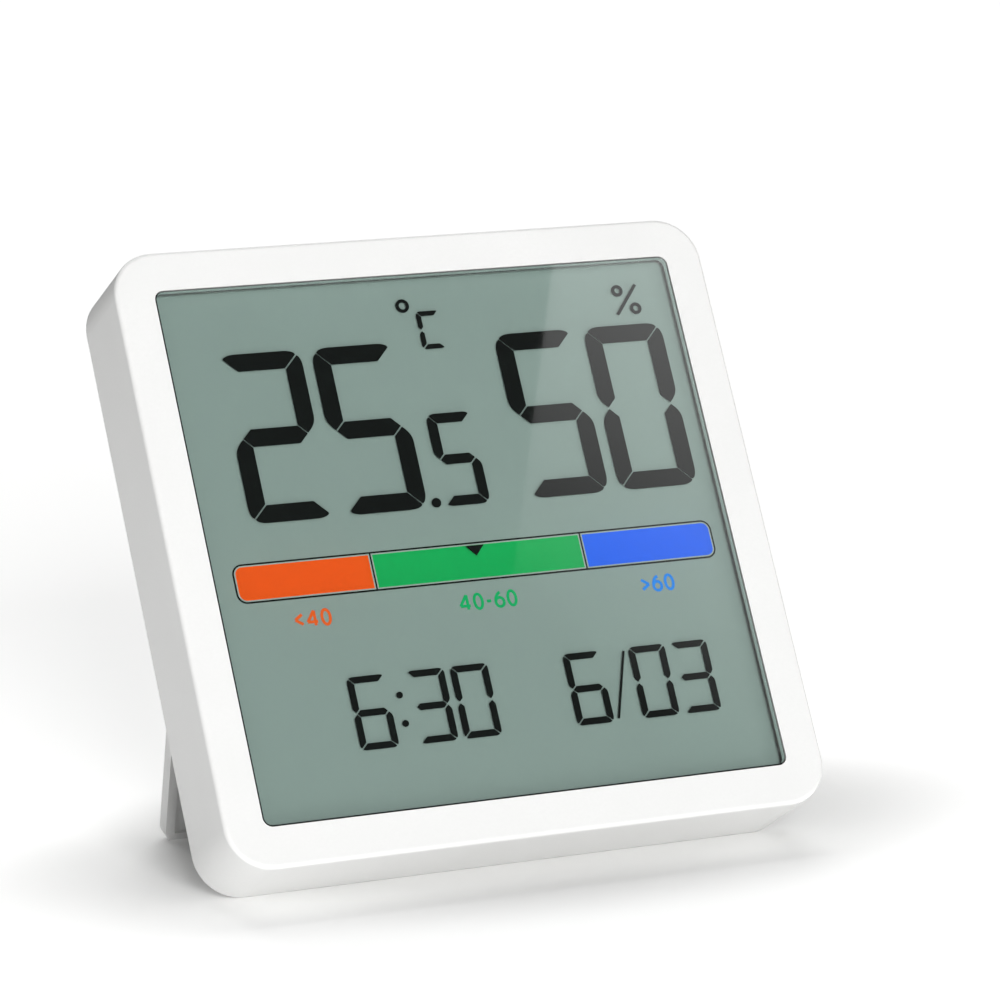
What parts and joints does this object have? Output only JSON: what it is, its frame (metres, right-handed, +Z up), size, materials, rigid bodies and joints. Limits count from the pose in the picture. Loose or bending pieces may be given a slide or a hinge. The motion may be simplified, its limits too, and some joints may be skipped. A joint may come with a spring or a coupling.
{
  "type": "desk thermo-hygrometer",
  "caption": "Rounded square desk temperature and humidity display with a clock, leaning back on a folding stand, with buttons and a coin cell door at the back.",
  "frame": {"origin": "middle of the footprint box on the table that the case and the open stand rest on", "axes": "+X to the right as seen from the front, +Y to the back, +Z up; the face looks towards -Y, leaning back"},
  "size_m": [0.072, 0.0448, 0.0673],
  "materials": {
    "white_abs": "fine moulded satin",
    "button_abs": "fine moulded satin",
    "window_acrylic": "clear polished acrylic",
    "polariser": "clear film",
    "display_glass": "clear float glass",
    "segment_black": "dark liquid crystal",
    "comfort_print": "printed colour film",
    "reflector": "greenish grey diffuse reflector",
    "holder_abs": "moulded",
    "elastomer": "layered silicone",
    "board_laminate": "solder mask over glass laminate",
    "resin_black": "cast epoxy",
    "can_steel": "plated steel",
    "chip_ceramic": "ceramic",
    "switch_plastic": "moulded",
    "screw_steel": "zinc plated",
    "contact_brass": "plated spring brass"
  },
  "bodies": {
    "case": {"front_shell": "white_abs", "window_lens": "window_acrylic", "lcd_front_polariser": "polariser", "lcd_front_glass": "display_glass", "lcd_segments": "segment_black", "lcd_rear_glass": "display_glass", "comfort_film": "comfort_print", "lcd_reflector": "reflector", "lcd_holder": "holder_abs", "zebra_strip": "elastomer", "main_board": "board_laminate", "controller_resin": "resin_black", "crystal": "can_steel", "sensor_chip": "chip_ceramic", "chip_passives": "chip_ceramic", "tact_switches": "switch_plastic", "board_screws": "screw_steel", "battery_cell": "can_steel", "positive_contact": "contact_brass", "negative_contact": "contact_brass", "rear_cover": "white_abs", "case_screws": "screw_steel"},
    "stand": {"stand": "white_abs"},
    "battery_door": {"battery_door": "white_abs"},
    "mode_button": {"mode_button": "button_abs", "mode_plunger": "switch_plastic"},
    "up_button": {"up_button": "button_abs", "up_plunger": "switch_plastic"},
    "down_button": {"down_button": "button_abs", "down_plunger": "switch_plastic"}
  },
  "joints": [
    {"name": "stand_hinge", "type": "hinge", "parent": "case", "child": "stand", "pos_m": [0, 0.00597, 0.03487], "axis": [-1, 0, 0], "range_deg": [0, 43.4]},
    {"name": "battery_door_turn", "type": "hinge", "parent": "case", "child": "battery_door", "pos_m": [-0.015, 0.01509, 0.04841], "axis": [0, 0.8712, -0.4909], "range_deg": [0, 50]},
    {"name": "mode_press", "type": "slide", "parent": "case", "child": "mode_button", "axis": [0, -0.8712, 0.4909], "range_m": [0, 0.0003], "stiffness_N_per_m": 800},
    {"name": "up_press", "type": "slide", "parent": "case", "child": "up_button", "axis": [0, -0.8712, 0.4909], "range_m": [0, 0.0003], "stiffness_N_per_m": 800},
    {"name": "down_press", "type": "slide", "parent": "case", "child": "down_button", "axis": [0, -0.8712, 0.4909], "range_m": [0, 0.0003], "stiffness_N_per_m": 800}
  ]
}
